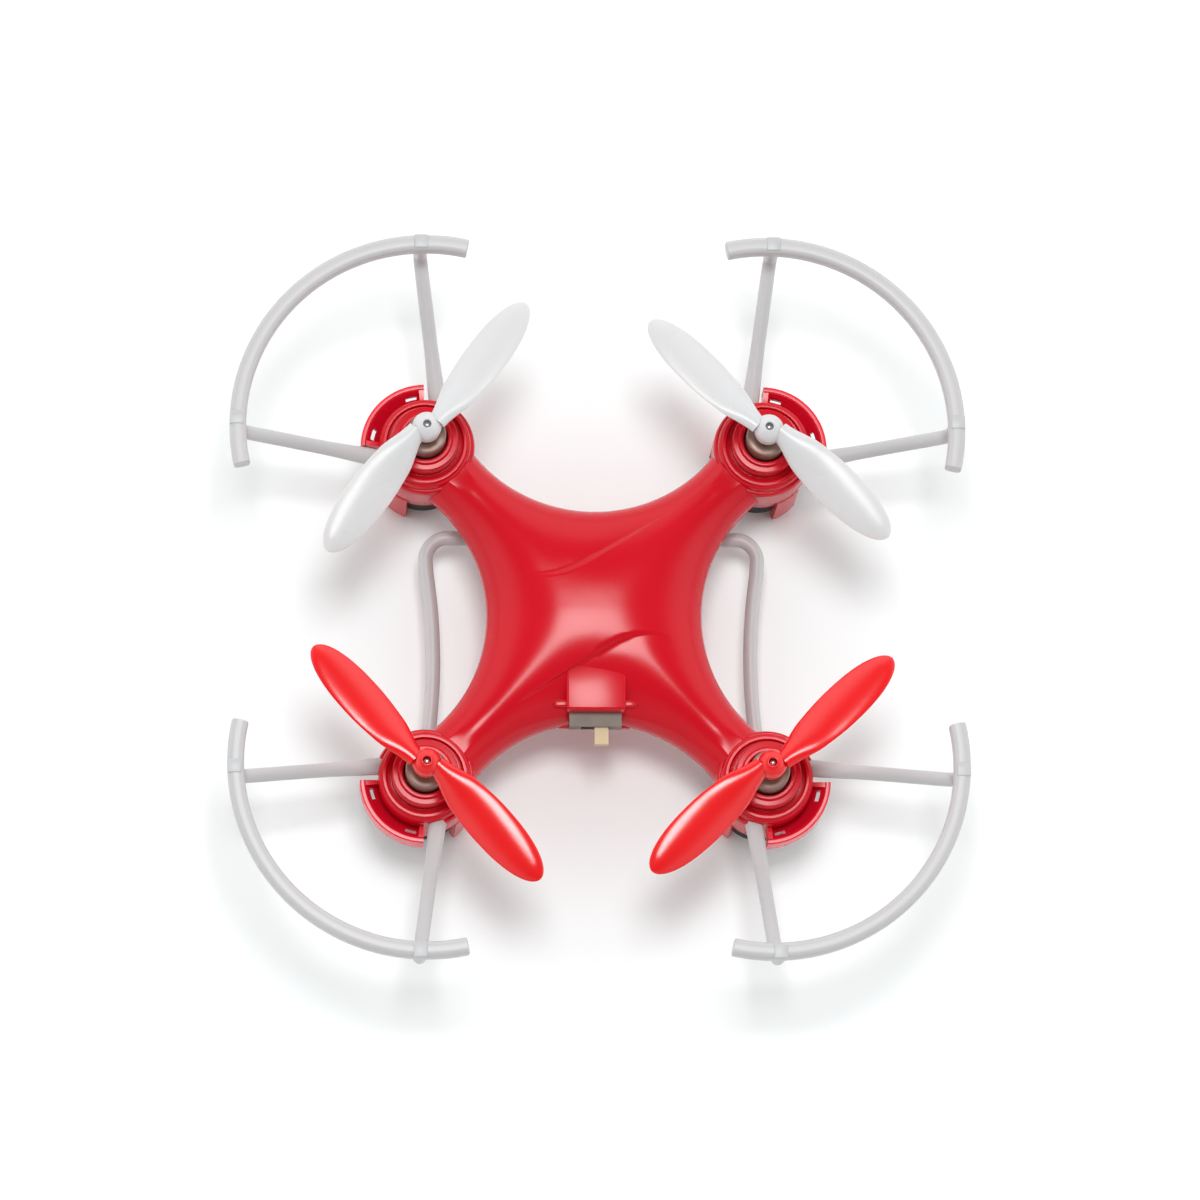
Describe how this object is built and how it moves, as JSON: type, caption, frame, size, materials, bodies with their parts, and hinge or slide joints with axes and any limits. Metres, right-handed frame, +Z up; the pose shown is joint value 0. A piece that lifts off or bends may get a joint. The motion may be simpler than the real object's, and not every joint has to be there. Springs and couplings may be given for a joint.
{
  "type": "mini palm drone",
  "caption": "Palm-size quadcopter: a glossy X-shaped body, motor pods on its arms, two-blade propellers that spin, open guard arcs on struts and a slide power switch.",
  "frame": {"origin": "on the ground under the middle of the body, at the bottom centre of the bounding box", "axes": "+Z up along the propeller axes; +Y to the front (white propellers); the power switch is on the -Y side; +X to the drone's right"},
  "size_m": [0.0726, 0.0726, 0.0206],
  "materials": {
    "red_shell": "glossy red moulded plastic",
    "lens_red": "bright translucent red plastic",
    "prop_white": "satin translucent white nylon",
    "prop_red": "satin bright red nylon",
    "guard_white": "satin pale grey-white flexible plastic",
    "screw_steel": "zinc-plated",
    "board_green": "green solder mask",
    "chip_black": "moulded epoxy",
    "battery_foil": "pouch foil",
    "foam_black": "closed-cell foam",
    "wire_blue": "silicone insulation",
    "wire_red": "silicone insulation",
    "black_plastic": "matt black",
    "foot_rubber": "matt black rubber",
    "socket_white": "off-white nylon",
    "switch_metal": "nickel-plated sheet",
    "knob_cream": "satin cream plastic",
    "lamp_white": "lamp chip",
    "motor_steel": "drawn steel can",
    "bush_brass": "turned brass",
    "shaft_steel": "ground steel"
  },
  "bodies": {
    "airframe": {"top_shell": "red_shell", "bottom_shell": "red_shell", "case_screws": "screw_steel", "circuit_board": "board_green", "control_chip": "chip_black", "radio_chip": "chip_black", "gyro_chip": "chip_black", "battery": "battery_foil", "battery_pad": "foam_black", "motor_leads": "wire_blue", "supply_leads": "wire_red", "lamp_chips": "lamp_white", "antenna_wire": "black_plastic", "charge_socket": "socket_white", "switch_case": "switch_metal", "brace": "guard_white", "motor_pod_front_left": "red_shell", "lamp_lens_front_left": "lens_red", "motor_can_front_left": "motor_steel", "motor_end_cap_front_left": "black_plastic", "motor_plug_front_left": "foot_rubber", "motor_bush_front_left": "bush_brass", "guard_arc_front_left": "guard_white", "guard_struts_front_left": "guard_white", "motor_pod_front_right": "red_shell", "lamp_lens_front_right": "lens_red", "motor_can_front_right": "motor_steel", "motor_end_cap_front_right": "black_plastic", "motor_plug_front_right": "foot_rubber", "motor_bush_front_right": "bush_brass", "guard_arc_front_right": "guard_white", "guard_struts_front_right": "guard_white", "motor_pod_rear_left": "red_shell", "lamp_lens_rear_left": "lens_red", "motor_can_rear_left": "motor_steel", "motor_end_cap_rear_left": "black_plastic", "motor_plug_rear_left": "foot_rubber", "motor_bush_rear_left": "bush_brass", "guard_arc_rear_left": "guard_white", "guard_struts_rear_left": "guard_white", "motor_pod_rear_right": "red_shell", "lamp_lens_rear_right": "lens_red", "motor_can_rear_right": "motor_steel", "motor_end_cap_rear_right": "black_plastic", "motor_plug_rear_right": "foot_rubber", "motor_bush_rear_right": "bush_brass", "guard_arc_rear_right": "guard_white", "guard_struts_rear_right": "guard_white"},
    "switch_knob": {"switch_knob": "knob_cream"},
    "propeller_front_left": {"propeller_front_left": "prop_white", "motor_shaft_front_left": "shaft_steel"},
    "propeller_front_right": {"propeller_front_right": "prop_white", "motor_shaft_front_right": "shaft_steel"},
    "propeller_rear_left": {"propeller_rear_left": "prop_red", "motor_shaft_rear_left": "shaft_steel"},
    "propeller_rear_right": {"propeller_rear_right": "prop_red", "motor_shaft_rear_right": "shaft_steel"}
  },
  "joints": [
    {"name": "power_switch_slide", "type": "slide", "parent": "airframe", "child": "switch_knob", "axis": [1, 0, 0], "range_m": [-0.0012, 0]},
    {"name": "propeller_spin_front_left", "type": "hinge", "parent": "airframe", "child": "propeller_front_left", "pos_m": [-0.0169, 0.0169, 0.0206], "axis": [0, 0, 1], "continuous": true},
    {"name": "propeller_spin_front_right", "type": "hinge", "parent": "airframe", "child": "propeller_front_right", "pos_m": [0.0169, 0.0169, 0.0206], "axis": [0, 0, 1], "continuous": true},
    {"name": "propeller_spin_rear_left", "type": "hinge", "parent": "airframe", "child": "propeller_rear_left", "pos_m": [-0.0169, -0.0169, 0.0206], "axis": [0, 0, 1], "continuous": true},
    {"name": "propeller_spin_rear_right", "type": "hinge", "parent": "airframe", "child": "propeller_rear_right", "pos_m": [0.0169, -0.0169, 0.0206], "axis": [0, 0, 1], "continuous": true}
  ]
}
